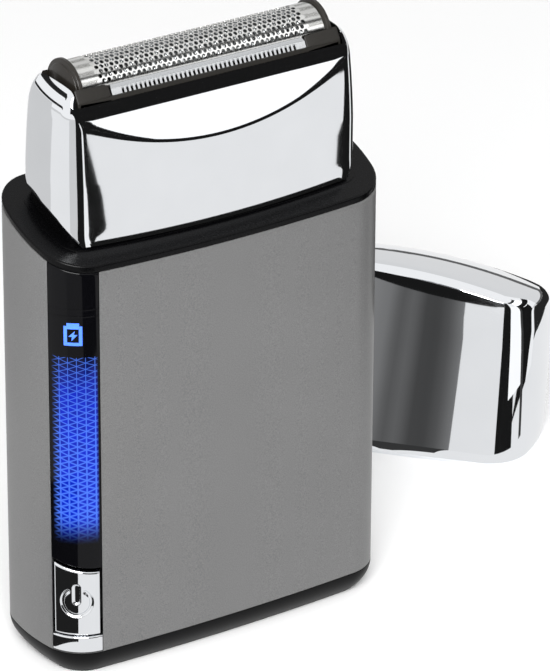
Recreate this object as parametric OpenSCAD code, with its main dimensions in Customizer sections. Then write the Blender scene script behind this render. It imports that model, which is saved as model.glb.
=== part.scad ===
// Foil shaver: a compact flat body with a lit corner window, a lift-off chrome head that
// carries one floating foil, and a separate chrome cap that stands beside it.
// The origin is at the centre of the base. X runs along the broad face, -Y is the front, +Z is up.
// All sizes are in millimetres and all angles in degrees.

/* [Body] */
// Width across the broad face
body_w = 65; // [64:0.5:67]
// Depth from front to back
body_d = 25.6; // [25.4:0.1:26.6]
// Radius of the upright corners
corner_r = 7.6; // [7:0.1:8]
// How far the front and back faces bow outward
front_bow = 1.3; // [1:0.1:1.6]
// How far the narrow side faces bow outward
side_bow = 2.6; // [2.2:0.1:3]
// Thickness of the metal shell
wall = 1.4; // [1.2:0.1:1.5]
// Height of the black base cover
base_h = 4.6; // [4.2:0.1:5]
// Height of the shell's top edge on the centre line
shell_top = 77.4; // [77:0.2:79]
// Slope of the deck, which rises from front to back
deck_tilt = 16.4; // [15:0.1:17]

/* [Window and button] */
// Width of the strip at the front left corner that holds the window and the button
window_w = 8.4; // [8:0.1:8.8]
// Direction in plan that the strip faces, turned from +X
window_dir = 51.8; // [50:0.1:54]
// Height of the strip's lower edge
strip_z = 5.3; // [5.1:0.1:5.5]
// Height of the power button's lower edge
button_z = 8; // [7.8:0.1:8.4]
// Height of the power button
button_h = 12.3; // [11.5:0.1:12.5]
// Travel of the power button
button_travel = 0.5; // [0.3:0.1:0.5]

/* [Head] */
// Height of the head's crest above the deck
head_h = 24.4; // [24:0.1:25]
// Distance from the body's side to the head's side
head_inset = 3.75; // [3.6:0.05:3.9]
// Thickness of the chrome head
head_t = 0.9; // [0.8:0.05:1]
// Slope of the front and back facets, in depth for each unit of height
facet_slope = 0.3; // [0.28:0.01:0.32]
// Height of the open edge under the head's narrow ends, above the deck
arch_h = 3.9; // [3.5:0.1:4.2]

/* [Foil and cutter] */
// Outer radius of the foil
foil_r = 4.8; // [4.7:0.05:4.85]
// Half length of the foil
foil_half = 23.1; // [22.8:0.1:23.15]
// Gap between the cutter and the foil
cutter_gap = 0.2; // [0.15:0.05:0.3]
// Number of cutter blades
blade_count = 31; // [25:1:35]
// Travel of the cutter to each side of the centre
stroke = 1.2; // [0.8:0.1:1.2]

/* [Cap] */
// Height of the cap above its rim plane, at the front and back edges of its top
cap_h = 30.3; // [30:0.1:31]
// How far the cap's top falls towards its narrow ends
cap_crown = 4.85; // [4:0.05:5]
// How far the cap's top rises from its long edges to its middle
cap_dome = 1.4; // [1.3:0.1:2]
// Wall thickness of the cap
cap_t = 0.9; // [0.8:0.05:0.9]
// Place of the cap's rim centre, along X
cap_x = 65.5; // [60:0.5:75]
// Place of the cap's rim centre, along Y
cap_y = 43.2; // [38:0.2:50]
// Turn of the cap about the upright axis
cap_turn = -50.7; // [-60:0.1:-40]

/* [Hidden] */
$fn = 48;

// A plan outline is [half width, half depth, front bow, side bow, corner radius].
BODY = [body_w / 2, body_d / 2, front_bow, side_bow, corner_r];
HEAD = [body_w / 2 - head_inset, body_d / 2 - head_inset + 0.35, 1.9, 1.55, corner_r - head_inset];
far = 120;
fit = 0.1;

// Levels
seal_t = 0.25;
rim_t = 1.05;
deck_z = shell_top + seal_t + rim_t;
neck_top = deck_z + 7.3;
head_top = deck_z + head_h;
foil_z = head_top - 2.1;
motor_top = shell_top - 12.4;
plate_z = motor_top + 0.6;
plate_t = 2;
bridge_z = motor_top + 5.9;
bridge_t = 2;
flange_z = deck_z + 2;
flange_t = 0.8;
hub_z = neck_top;
carrier_z = foil_z - 4.5;
rail_z = foil_z - 1.5;
frame_z = foil_z - 9;
ledge_z = frame_z - 5.4;

// Plan sizes
screw_at = [24, 3];
socket_y = 5;
battery_at = [19, 0];
battery_r = 7;
battery_z = 15.5;
motor_r = 10.2;
motor_flat = 7.7;
motor_len = 26;
shaft_r = 1;
rod_y = 4.2;
rod_r = 0.8;
post_r = 2;
running = 0.06;
frame_x = 25.1;
frame_y = 6.2;
head_gap = 0.25;
spring_x = 23.4;
cap_edge = 2.2;
cap_draft = 1.2;

function arc_radius(half, bow) = (half * half + bow * bow) / (2 * bow);

function side_centre(p) = [p[0] - arc_radius(p[1], p[3]), 0];

function front_centre(p) = [0, p[1] - arc_radius(p[0], p[2])];

// Centre of the corner arc that touches both the side arc and the front arc, in the +X +Y quarter
function corner_centre(p) =
    let (cx = side_centre(p),
         cy = front_centre(p),
         span = norm(cx - cy),
         r0 = arc_radius(p[0], p[2]) - p[4],
         r1 = arc_radius(p[1], p[3]) - p[4],
         along = (span * span + r0 * r0 - r1 * r1) / (2 * span),
         off = sqrt(r0 * r0 - along * along),
         u = (cx - cy) / span)
    cy + along * u + off * [u[1], -u[0]];

function arc(c, r, a0, a1, n, first = 0) =
    [for (i = [first:n]) c + r * [cos(a0 + (a1 - a0) * i / n), sin(a0 + (a1 - a0) * i / n)]];

function direction(from, to) = atan2(to[1] - from[1], to[0] - from[0]);

// A quarter of the outline moved inward by e, from the +X axis to the +Y axis
function quarter(p, e) =
    let (cx = side_centre(p),
         cy = front_centre(p),
         c = corner_centre(p),
         a0 = direction(cx, c),
         a1 = direction(cy, c))
    concat(arc(cx, arc_radius(p[1], p[3]) - e, 0, a0, 2),
           arc(c, p[4] - e, a0, a1, 7, 1),
           arc(cy, arc_radius(p[0], p[2]) - e, a1, 90, 5, 1));

function outline(p, e) =
    let (q = quarter(p, e), n = len(q))
    concat(q,
           [for (i = [n - 2:-1:0]) [-q[i][0], q[i][1]]],
           [for (i = [1:n - 1]) -q[i]],
           [for (i = [n - 2:-1:1]) [q[i][0], -q[i][1]]]);

// Corner arc centre behind the window, in the -X -Y quarter
corner = -corner_centre(BODY);

// Solid skinned over rings of points, closed by a fan at each end
module loft(rings, low, high) {
    n = len(rings[0]);
    m = len(rings);
    sides = [for (k = [0:m - 2], i = [0:n - 1])
                let (a = k * n + i, b = k * n + (i + 1) % n)
                each [[a, a + n, b + n], [a, b + n, b]]];
    bottom = [for (i = [0:n - 1]) [i, (i + 1) % n, m * n]];
    top = [for (i = [0:n - 1]) [(m - 1) * n + (i + 1) % n, (m - 1) * n + i, m * n + 1]];
    polyhedron(concat([for (r = rings) each r], [low, high]), concat(sides, bottom, top));
}

// Flat ring of points: the outline moved inward by e, at height z
function level(p, e, z) = [for (q = outline(p, e)) [q[0], q[1], z]];

// Everything between two planes that slope with the deck, given by their heights at Y = 0
module slant(z0, z1) {
    rise = far * tan(deck_tilt);
    translate([-far, 0, 0])
        rotate([90, 0, 90])
            linear_extrude(2 * far)
                polygon([[-far, z0 - rise], [far, z0 + rise], [far, z1 + rise], [-far, z1 - rise]]);
}

// Upright tube wall between two insets of a plan
module wall_ring(p, e0, e1, z0, z1) {
    translate([0, 0, z0])
        linear_extrude(z1 - z0)
            difference() {
                polygon(outline(p, e0));
                polygon(outline(p, e1));
            }
}

module plate(p, e, z0, z1) {
    translate([0, 0, z0])
        linear_extrude(z1 - z0)
            polygon(outline(p, e));
}

// Upright slab at the front left corner, w wide, from one depth to another along the inward direction
module strip(w, x0, x1, z0, z1) {
    translate([corner[0], corner[1], z0])
        rotate([0, 0, window_dir])
            translate([x0, -w / 2, 0])
                cube([x1 - x0, w, z1 - z0]);
}

// Piece of the shell wall inside the corner strip
module corner_piece(gap, e0, e1, z0, z1) {
    intersection() {
        wall_ring(BODY, e0, e1, z0, z1);
        strip(window_w - 2 * gap, -15, 0, z0, z1);
    }
}

// Cylinder along the inward direction of the corner strip
module corner_rod(r, x0, x1, z) {
    translate([corner[0], corner[1], z])
        rotate([0, 0, window_dir])
            translate([x0, 0, 0])
                rotate([0, 90, 0])
                    cylinder(r = r, h = x1 - x0);
}

module block(x0, x1, y0, y1, z0, z1) {
    translate([x0, y0, z0])
        cube([x1 - x0, y1 - y0, z1 - z0]);
}

module rod_x(r, x0, x1, y, z) {
    translate([x0, y, z])
        rotate([0, 90, 0])
            cylinder(r = r, h = x1 - x0);
}

module both_ends() {
    children();
    mirror([1, 0, 0])
        children();
}

module front_and_back() {
    children();
    mirror([0, 1, 0])
        children();
}

module slot_2d(half, r) {
    square([2 * half, 2 * r], center = true);
    for (s = [-1, 1])
        translate([s * half, 0])
            circle(r);
}

// Coil spring of round wire, swept along a helix
module coil(r, wire, turns, z0, z1) {
    steps = 16 * turns;
    sides = 6;
    pts = [for (k = [0:steps], j = [0:sides - 1])
              let (a = 360 * turns * k / steps,
                   f = 360 * j / sides,
                   d = r + wire * cos(f),
                   z = z0 + wire + (z1 - z0 - 2 * wire) * k / steps + wire * sin(f) * 0.96)
              [d * cos(a), d * sin(a), z]];
    skin = [for (k = [0:steps - 1], j = [0:sides - 1])
               let (a = k * sides + j, b = k * sides + (j + 1) % sides)
               each [[a, a + sides, b + sides], [a, b + sides, b]]];
    ends = [[for (j = [0:sides - 1]) j], [for (j = [sides - 1:-1:0]) steps * sides + j]];
    polyhedron(pts, concat(skin, ends));
}

// Base: a black tray with a rounded lower edge, screw pillars and a slot for the charging socket

module base_cover() {
    edge = 2.6;
    steps = 6;
    rings = [for (i = [0:steps]) level(BODY, edge * pow(1 - i / steps, 1.9), base_h * i / steps)];
    color("#161718")
        difference() {
            union() {
                difference() {
                    loft(rings, [0, 0, 0], [0, 0, base_h]);
                    plate(BODY, edge + 0.4, 2, base_h + 1);
                }
                wall_ring(BODY, wall + fit, wall + 1.2, base_h - 1, base_h + 2);
                both_ends()
                    translate([screw_at[0], screw_at[1], 1.5])
                        cylinder(r = 3, h = 8.3);
            }
            strip(window_w + 3, -15, -1.4, base_h, base_h + 3);
            both_ends()
                translate([screw_at[0], screw_at[1], -1]) {
                    cylinder(r = 1.15, h = 12);
                    cylinder(r = 2.1, h = 3.6);
                }
            translate([0, socket_y, -1])
                linear_extrude(4)
                    slot_2d(3.1, 1.9);
        }
}

module base_screws() {
    color("#b9bcc0")
        both_ends()
            translate([screw_at[0], screw_at[1], 0])
                difference() {
                    union() {
                        translate([0, 0, 1.2])
                            cylinder(r = 1.9, h = 1.4);
                        translate([0, 0, 2.6])
                            cylinder(r = 1, h = 11.9);
                    }
                    for (turn = [0, 90])
                        rotate([0, 0, turn])
                            block(-1.2, 1.2, -0.25, 0.25, 0, 1.9);
                }
}

// Shell: a bent metal sleeve with the corner cut away for the window and the button

module body_shell() {
    color("#8d8e90")
        difference() {
            intersection() {
                wall_ring(BODY, 0, wall, base_h, shell_top + 10);
                slant(-far, shell_top);
            }
            strip(window_w, -15, 0, strip_z, shell_top + 10);
        }
}

module collar_seal() {
    color("#0b0b0c")
        intersection() {
            wall_ring(BODY, 0.25, wall + 0.05, shell_top - 10, shell_top + 10);
            slant(shell_top, shell_top + seal_t);
        }
}

// Collar: the black deck, the skirt that plugs into the shell and the neck that carries the head

module top_collar() {
    rim_z = shell_top + seal_t;
    neck_in = head_t + head_gap + 1.2;
    color("#1a1b1d")
        difference() {
            union() {
                intersection() {
                    plate(BODY, 0, rim_z - 10, deck_z + 10);
                    slant(rim_z, deck_z);
                }
                intersection() {
                    plate(BODY, wall + fit, rim_z - 12, deck_z + 10);
                    slant(rim_z - 4, rim_z + 0.5);
                }
                intersection() {
                    plate(HEAD, head_t + head_gap, rim_z - 10, neck_top);
                    slant(rim_z, far);
                }
                intersection() {
                    plate(BODY, head_inset - 0.15, rim_z - 10, deck_z + 10);
                    slant(rim_z, deck_z + 0.35);
                }
            }
            intersection() {
                plate(BODY, wall + 1.4, rim_z - 20, rim_z + 10);
                slant(-far, rim_z - 1);
            }
            intersection() {
                plate(HEAD, neck_in, rim_z - 10, neck_top + 1);
                slant(deck_z, far);
            }
            translate([0, 0, rim_z - 10])
                linear_extrude(20)
                    slot_2d(stroke, post_r + 0.4);
            strip(window_w + 3, -15, -1.4, rim_z - 15, shell_top - 3);
        }
}

module drive_seal() {
    color("#111112")
        intersection() {
            translate([0, 0, deck_z - 10])
                linear_extrude(20)
                    difference() {
                        slot_2d(3, 4.2);
                        slot_2d(stroke, post_r + 0.3);
                    }
            slant(deck_z, deck_z + 0.5);
        }
}

// Window, light and button at the front left corner

lens_z = button_z + button_h + 0.6;

// Height at Y = 0 of the sloping plane that crosses the middle of the window at height z
function at_window(z) = z + (corner_r * sin(window_dir) - corner[1]) * tan(deck_tilt);

module window_lens() {
    color("#1c2c66")
        intersection() {
            corner_piece(fit, 0.05, wall, lens_z - 2, shell_top + 10);
            slant(at_window(lens_z), shell_top);
        }
}

module light_guide() {
    color("#3a63ff")
        intersection() {
            corner_piece(0.5, wall + 0.2, wall + 1.2, lens_z + 1, shell_top - 8);
            slant(-far, shell_top - 5.2);
        }
}

module display_board() {
    color("#14532d")
        strip(10, -3.2, -2.2, 9, shell_top - 9);
}

module tact_switch() {
    z = button_z + button_h / 2;
    color("#2b2d31") {
        strip(4.6, -4.4, -3.2, z - 2.3, z + 2.3);
        corner_rod(1, -4.7, -4.4, z);
    }
}

module button_trim() {
    color("#d8dade")
        corner_piece(fit, 0, wall, strip_z + 0.1, button_z - 0.2);
}

module power_button() {
    color("#e4e6ea") {
        intersection() {
            corner_piece(0.2, 0, wall, button_z, button_z + button_h + 2);
            slant(-far, at_window(button_z + button_h));
        }
        intersection() {
            wall_ring(BODY, wall, wall + 0.5, button_z + 0.4, button_z + button_h - 0.3);
            strip(window_w - 0.4, -15, 0, button_z + 0.4, button_z + button_h - 0.3);
        }
        corner_rod(1.4, -5.9, -4.7 - button_travel - 0.1, button_z + button_h / 2);
    }
}

// Chassis: lower deck, motor plate, posts between them and the rod brackets

module strip_clearance(z0, z1) {
    strip(window_w + 4.6, -15, -1.4, z0, z1);
}

module inner_chassis() {
    low = 10;
    bracket = [11.5, 13.5];
    color("#3d4045")
        difference() {
            union() {
                plate(BODY, wall + 0.6, low, low + 2);
                plate(BODY, wall + 0.6, plate_z, plate_z + plate_t);
                both_ends()
                    translate([screw_at[0], screw_at[1], low])
                        cylinder(r = 2.6, h = 5);
                front_and_back() {
                    block(10.6, 12.6, 8.7, 10.3, low, plate_z + 1);
                    block(-20.5, -18.5, 8.7, 10.3, low, plate_z + 1);
                }
                both_ends()
                    front_and_back()
                        block(bracket[0], bracket[1], rod_y - 1.6, rod_y + 1.6,
                              plate_z + 1, bridge_z + 2.4);
            }
            strip_clearance(low - 1, plate_z + 5);
            both_ends()
                translate([screw_at[0], screw_at[1], low - 1])
                    cylinder(r = 1.05, h = 8);
            translate([0, 0, plate_z - 1])
                cylinder(r = 3.3, h = 4);
            for (s = [-1, 1])
                translate([s * 7, 0, plate_z - 1])
                    cylinder(r = 1.1, h = 4);
            for (s = [-1, 1])
                rod_x(rod_r + 0.03, -20, 20, s * rod_y, bridge_z + 1);
        }
}

module battery_cell() {
    color("#2f6fb0")
        translate([battery_at[0], battery_at[1], battery_z]) {
            cylinder(r = battery_r, h = motor_top - battery_z - 0.8);
            cylinder(r = 2.6, h = motor_top - battery_z);
        }
}

module battery_tabs() {
    color("#c9ccd1")
        for (z = [battery_z - 0.25, motor_top + 0.05])
            translate([battery_at[0], battery_at[1], z])
                block(-8.2, 2.5, -2, 2, 0, 0.2);
}

module main_board() {
    y = 9.2;
    color("#1e6b3a") {
        block(-17.8, 10, y - 1, y, 13, motor_top - 1);
        block(-16.5, -12, y - 2.4, y - 1, 22, 27);
        block(-16.5, -13, y - 2.4, y - 1, 32, 35.5);
        for (z = [40:4:60])
            block(-17, -15.4, y - 1.8, y - 1, z, z + 0.9);
    }
}

module charge_board() {
    color("#1e6b3a")
        block(-8, 8, socket_y - 4.5, socket_y + 4.5, 8.5, 9.6);
}

module charging_socket() {
    color("#c4c7cb")
        translate([0, socket_y, 0]) {
            translate([0, 0, 0.8])
                linear_extrude(7.7)
                    difference() {
                        slot_2d(3, 1.6);
                        slot_2d(3, 1.3);
                    }
            translate([0, 0, 6.5])
                linear_extrude(2)
                    slot_2d(3, 1.45);
            block(-3.1, 3.1, -0.35, 0.35, 1.8, 7);
        }
}

// Motor, eccentric and the bridge that turns its spin into the cutter's stroke

module motor_can() {
    color("#aeb1b5")
        difference() {
            union() {
                intersection() {
                    translate([0, 0, motor_top - motor_len])
                        cylinder(r = motor_r, h = motor_len);
                    block(-far, far, -motor_flat, motor_flat, 0, far);
                }
                translate([0, 0, motor_top - 1])
                    cylinder(r = 3, h = 2.4);
            }
            translate([0, 0, motor_top - 5])
                cylinder(r = shaft_r + running, h = 10);
            for (s = [-1, 1])
                translate([s * 7, 0, motor_top - 4])
                    cylinder(r = 1.05, h = 5);
        }
}

module motor_screws() {
    color("#b9bcc0")
        for (s = [-1, 1])
            translate([s * 7, 0, 0])
                difference() {
                    union() {
                        translate([0, 0, motor_top - 3.5])
                            cylinder(r = 1, h = plate_z + plate_t - motor_top + 3.6);
                        translate([0, 0, plate_z + plate_t])
                            cylinder(r = 1.9, h = 1.1);
                    }
                    block(-1.3, 1.3, -0.25, 0.25, plate_z + plate_t + 0.6, plate_z + plate_t + 2);
                }
}

module motor_shaft() {
    color("#d5d7da")
        translate([0, 0, motor_top - 4.5])
            cylinder(r = shaft_r, h = 9.6);
}

module eccentric_cam() {
    z = motor_top + 3.4;
    color("#f0f0ea")
        difference() {
            union() {
                translate([0, 0, z])
                    cylinder(r = 3.2, h = 2);
                translate([stroke, 0, z + 2])
                    cylinder(r = 1, h = 2.6);
            }
            translate([0, 0, z - 1])
                cylinder(r = shaft_r + 0.01, h = 2.8);
        }
}

module guide_rods() {
    color("#d5d7da")
        for (s = [-1, 1])
            rod_x(rod_r, -13.2, 13.2, s * rod_y, bridge_z + 1);
}

// The slot is wider than the eccentric pin by the stroke on each side, because spin and stroke
// have no constant ratio and are separate joints.
module drive_bridge() {
    slot_x = 1 + 2 * stroke + 0.2;
    slot_y = 1 + stroke + 0.4;
    arch = bridge_z + bridge_t;
    color("#ececec")
        difference() {
            union() {
                block(-9, 9, -5.6, 5.6, bridge_z, arch);
                block(-6, 6, -slot_y, slot_y, arch - 1, arch + 1.7);
                translate([0, 0, arch + 1])
                    cylinder(r = post_r, h = hub_z + 4 - arch - 1);
                translate([0, 0, flange_z])
                    cylinder(r = 3.6, h = flange_t);
            }
            block(-slot_x, slot_x, -slot_y - 0.01, slot_y + 0.01, bridge_z - 1, arch + 0.7);
            for (s = [-1, 1])
                rod_x(rod_r + running, -20, 20, s * rod_y, bridge_z + 1);
        }
}

// Cutter: a sprung carrier with arched blades that sweep under the foil

module cutter_spring() {
    color("#c9ccd1")
        coil(2.9, 0.3, 4, flange_z + flange_t, hub_z);
}

module cutter_carrier() {
    color("#f4f4f2")
        difference() {
            union() {
                translate([0, 0, hub_z])
                    cylinder(r = 3.6, h = carrier_z - hub_z + 1);
                block(-20.2, 20.2, -4.2, 4.2, carrier_z, rail_z);
            }
            translate([0, 0, hub_z - 1])
                cylinder(r = post_r + running, h = 7);
        }
}

module main_cutter() {
    r = foil_r - 0.15 - cutter_gap;
    depth = 1.2;
    pitch = 40 / (blade_count - 1);
    blade = 0.35;
    color("#c3c6ca") {
        front_and_back()
            block(-20.2, 20.2, r - depth, r, rail_z, foil_z + 0.2);
        for (i = [0:blade_count - 1])
            intersection() {
                difference() {
                    rod_x(r, -20 - blade / 2 + i * pitch, -20 + blade / 2 + i * pitch, 0, foil_z);
                    rod_x(r - depth, -far, far, 0, foil_z);
                }
                block(-far, far, -far, far, foil_z, far);
            }
    }
}

// Head: the chrome shell and the black frame inside it

// Inset of the head's wall at height z: a slow draft, then a rounded crest
function head_wall(z) =
    let (edge_h = 5.2,
         draft = max(0, z - deck_z - 3.3) / 16,
         u = min(1, max(0, z - head_top + edge_h) / edge_h))
    0.7 * draft * draft + 2.6 * (1 - sqrt(1 - u * u));

facet_z = head_top - 11.6;
facet_y = body_d / 2 - head_inset + 0.1;

// Outer form of the head, made smaller all round by t
module head_form(t) {
    levels = [for (k = [-2, 8, 10, 11, 12, 13, 14, 15.5, 17, 19.2]) deck_z + k];
    crest = [for (a = [15:15:90]) head_top - 5.2 + 5.2 * sin(a)];
    rings = [for (z = concat(levels, crest)) level(HEAD, head_wall(z) + t, z - (z > head_top - 5 ? t : 0))];
    lean = atan(facet_slope);
    difference() {
        loft(rings, [0, 0, deck_z - 2], [0, 0, head_top - t]);
        front_and_back()
            translate([0, facet_y - t / cos(lean), facet_z])
                rotate([lean, 0, 0])
                    block(-far, far, 0, far, -20, 60);
        slant(-far, deck_z - 6);
    }
}

module head_shell() {
    color("#dfe1e5")
        difference() {
            head_form(0);
            head_form(head_t);
            block(-frame_x - 0.3, frame_x + 0.3, -frame_y - head_gap, frame_y + head_gap,
                  foil_z - 7, far);
            slant(-far, deck_z + 0.75);
            both_ends()
                intersection() {
                    slant(-far, deck_z + arch_h);
                    block(25.6, far, -far, far, 0, far);
                }
        }
}

module head_frame() {
    z0 = neck_top + 0.6;
    color("#1a1b1d") {
        difference() {
            intersection() {
                plate(HEAD, head_t + 0.4, z0, facet_z + 1);
                block(-far, far, -7.8, 7.8, 0, far);
            }
            block(-frame_x - head_gap, frame_x + head_gap, -frame_y - head_gap, frame_y + head_gap,
                  z0 - 1, far);
        }
        both_ends()
            block(22.4, frame_x + 0.6, -4, 4, z0, ledge_z + 1);
    }
}

module foil_springs() {
    color("#c9ccd1")
        for (s = [-1, 1])
            translate([s * spring_x, 0, 0])
                coil(1.25, 0.25, 4, ledge_z + 1, frame_z);
}

// Foil cassette

module foil_frame() {
    color("#151617") {
        difference() {
            block(-frame_x, frame_x, -frame_y, frame_y, frame_z, foil_z);
            block(-frame_x + 0.7, frame_x - 0.7, -5.6, 5.6, frame_z - 1, foil_z + 1);
        }
        both_ends() {
            block(21.8, frame_x - 0.5, -5.8, 5.8, frame_z, frame_z + 1);
            front_and_back()
                block(20.6, frame_x, 5.4, frame_y, foil_z - 1, foil_z + 2.2);
        }
    }
}

module foil_end() {
    color("#2a2220") {
        rod_x(5.3, 23.2, 24.3, 0, foil_z);
        block(23.2, 24.3, -4, 4, frame_z + 1, foil_z - 2);
    }
}

module foil_end_left() {
    mirror([1, 0, 0])
        foil_end();
}

module foil_end_right() {
    foil_end();
}

module main_foil() {
    t = 0.15;
    color("#cfd1d4")
        difference() {
            union() {
                rod_x(foil_r, -foil_half, foil_half, 0, foil_z);
                block(-foil_half, foil_half, -foil_r, foil_r, foil_z - 5, foil_z);
            }
            rod_x(foil_r - t, -far, far, 0, foil_z);
            block(-far, far, -foil_r + t, foil_r - t, foil_z - 9, foil_z);
        }
}

module comb() {
    tooth = 0.84;
    half = 18.5;
    reach = 16.4;
    color("#b4b7bb")
        difference() {
            block(-half, half, foil_r + 0.15, frame_y, foil_z, foil_z + 1);
            for (i = [0:reach * 2 / tooth])
                block(-reach + i * tooth - 0.22, -reach + i * tooth + 0.22, frame_y - 0.8, far,
                      foil_z - 1, foil_z + 2);
        }
}

module front_comb() {
    mirror([0, 1, 0])
        comb();
}

module rear_comb() {
    comb();
}

// Cap: stands on its slanted rim, so it leans back by the slope of the deck

function cap_top(q) =
    cap_h + cap_dome - cap_crown * pow(2 * q[0] / body_w, 2) - cap_dome * pow(2 * q[1] / body_d, 2);

module on_rim() {
    translate([cap_x, cap_y, 0])
        rotate([0, 0, cap_turn])
            rotate([-deck_tilt, 0, 0])
                children();
}

// Outer form of the cap, made smaller all round by t
module cap_form(t) {
    wall_mid = level(BODY, t + 0.2 * cap_draft, 0.45 * (cap_h - cap_edge));
    edge = [for (a = [0:22.5:90])
               [for (q = outline(BODY, t + cap_draft + cap_edge * (1 - cos(a))))
                   [q[0], q[1], cap_top(q) - t - cap_edge * (1 - sin(a))]]];
    crown = [for (s = [0.66, 0.33])
                [for (q = s * outline(BODY, t + cap_draft + cap_edge)) [q[0], q[1], cap_top(q) - t]]];
    loft(concat([level(BODY, t, -8), wall_mid], edge, crown), [0, 0, -8], [0, 0, cap_top([0, 0]) - t]);
}

module cap_shell() {
    color("#dfe1e5")
        on_rim()
            difference() {
                cap_form(0);
                cap_form(cap_t);
                slant(-far, 0);
            }
}

module cap_liner() {
    color("#1a1b1d")
        on_rim()
            intersection() {
                wall_ring(BODY, cap_t + 0.3, cap_t + 1.1, -10, 20);
                slant(0.8, 9);
            }
}

base_cover();
base_screws();
body_shell();
collar_seal();
top_collar();
drive_seal();
window_lens();
light_guide();
display_board();
button_trim();
power_button();
tact_switch();
inner_chassis();
battery_cell();
battery_tabs();
main_board();
charge_board();
charging_socket();
motor_can();
motor_screws();
motor_shaft();
eccentric_cam();
guide_rods();
drive_bridge();
cutter_spring();
cutter_carrier();
main_cutter();
head_shell();
head_frame();
foil_springs();
foil_frame();
foil_end_left();
foil_end_right();
main_foil();
front_comb();
rear_comb();
cap_shell();
cap_liner();
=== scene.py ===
"""Foil shaver with its cap off: the visual model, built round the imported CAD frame."""
import math

import bmesh
import bpy
from mathutils import Matrix, Vector


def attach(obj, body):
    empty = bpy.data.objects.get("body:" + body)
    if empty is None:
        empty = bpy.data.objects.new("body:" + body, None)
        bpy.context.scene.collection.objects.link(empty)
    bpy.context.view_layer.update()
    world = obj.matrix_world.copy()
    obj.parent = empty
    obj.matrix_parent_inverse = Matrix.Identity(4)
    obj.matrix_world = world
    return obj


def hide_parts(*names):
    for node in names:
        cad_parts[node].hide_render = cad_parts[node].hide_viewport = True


bl_info = {
    "name": "Foil Shaver",
    "version": (1, 0, 0),
    "blender": (4, 5, 0),
    "location": "View3D > Sidebar > Shaver",
    "description": "Builds a cordless foil shaver and its cap round a packed CAD frame",
    "category": "Object",
}

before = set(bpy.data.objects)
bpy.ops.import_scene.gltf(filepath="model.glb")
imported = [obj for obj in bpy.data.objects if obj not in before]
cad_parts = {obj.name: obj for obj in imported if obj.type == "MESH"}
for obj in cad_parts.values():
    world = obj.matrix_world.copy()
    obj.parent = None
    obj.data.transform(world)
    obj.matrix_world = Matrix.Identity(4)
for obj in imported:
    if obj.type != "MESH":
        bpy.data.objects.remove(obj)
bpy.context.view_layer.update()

MM = 0.001
UP = (0, 0, 1)

# Plans are half width, half depth, bow of the front, bow of the side and corner radius, in mm
BODY = (32.5, 12.8, 1.3, 2.6, 7.6)
HEAD = (28.75, 9.4, 1.9, 1.55, 3.85)
SLOPE = math.tan(math.radians(16.4))
WALL = 1.4
BASE_H = 4.6
SHELL_TOP = 77.4
RIM_Z = 77.65
DECK_Z = 78.7
NECK_TOP = 86.0
HEAD_TOP = 103.1
FOIL_Z = 101.0
WINDOW_DIR = math.radians(51.8)
SLOT_HALF = 4.2
LENS_HALF = 4.1
BUTTON_HALF = 4.0
STRIP_Z = 4.72
STRIP_TOP = 7.8
BUTTON_Z = (8.0, 20.3)
LENS_Z = 20.9


def linear(code):
    """Turns an sRGB hex colour into linear RGBA."""
    parts = [int(code[i:i + 2], 16) / 255 for i in (1, 3, 5)]
    return [c / 12.92 if c <= 0.04045 else ((c + 0.055) / 1.055) ** 2.4 for c in parts] + [1.0]


def node(tree, kind, settings=None, links=None):
    """Adds a node, sets its properties and inputs, and links its inputs to other nodes' outputs."""
    made = tree.nodes.new(kind)
    for key, value in (settings or {}).items():
        if isinstance(key, int) or key in made.inputs:
            made.inputs[key].default_value = value
        else:
            setattr(made, key, value)
    for key, source in (links or {}).items():
        tree.links.new(source, made.inputs[key])
    return made


def ramp(tree, source, start, end, low=0.0, high=1.0, kind="LINEAR"):
    """Carries a value from one range over to another, and holds it at the ends."""
    settings = {"interpolation_type": kind, "From Min": start, "From Max": end, "To Min": low,
                "To Max": high}
    return node(tree, "ShaderNodeMapRange", settings, {"Value": source}).outputs[0]


def scaled(tree, colour, factor):
    """Multiplies a colour, given as three numbers or as a socket, by a factor."""
    settings, links = ({0: colour}, {}) if isinstance(colour, list) else ({}, {0: colour})
    settings["operation"] = "SCALE"
    return node(tree, "ShaderNodeVectorMath", settings, {**links, "Scale": factor}).outputs[0]


def blank(name):
    """New material with an empty node tree."""
    material = bpy.data.materials.new(name)
    material.use_nodes = True
    material.node_tree.nodes.clear()
    return material, material.node_tree


def surface(tree, shader):
    node(tree, "ShaderNodeOutputMaterial", {}, {"Surface": shader.outputs[0]})


def placed(name, bm, material):
    """Object of a finished mesh, with its material, in the scene."""
    mesh = bpy.data.meshes.new(name)
    bm.to_mesh(mesh)
    bm.free()
    mesh.materials.append(material)
    made = bpy.data.objects.new(name, mesh)
    bpy.context.scene.collection.objects.link(made)
    return made


# ---------------------------------------------------------------- shapes

def arc_radius(half, bow):
    return (half * half + bow * bow) / (2 * bow)


def corner_centre(p):
    """Centre of the corner arc that touches the side arc and the front arc."""
    side = Vector((p[0] - arc_radius(p[1], p[3]), 0))
    front = Vector((0, p[1] - arc_radius(p[0], p[2])))
    span = (side - front).length
    r0 = arc_radius(p[0], p[2]) - p[4]
    r1 = arc_radius(p[1], p[3]) - p[4]
    along = (span * span + r0 * r0 - r1 * r1) / (2 * span)
    off = math.sqrt(r0 * r0 - along * along)
    u = (side - front) / span
    return front + along * u + off * Vector((u.y, -u.x))


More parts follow.
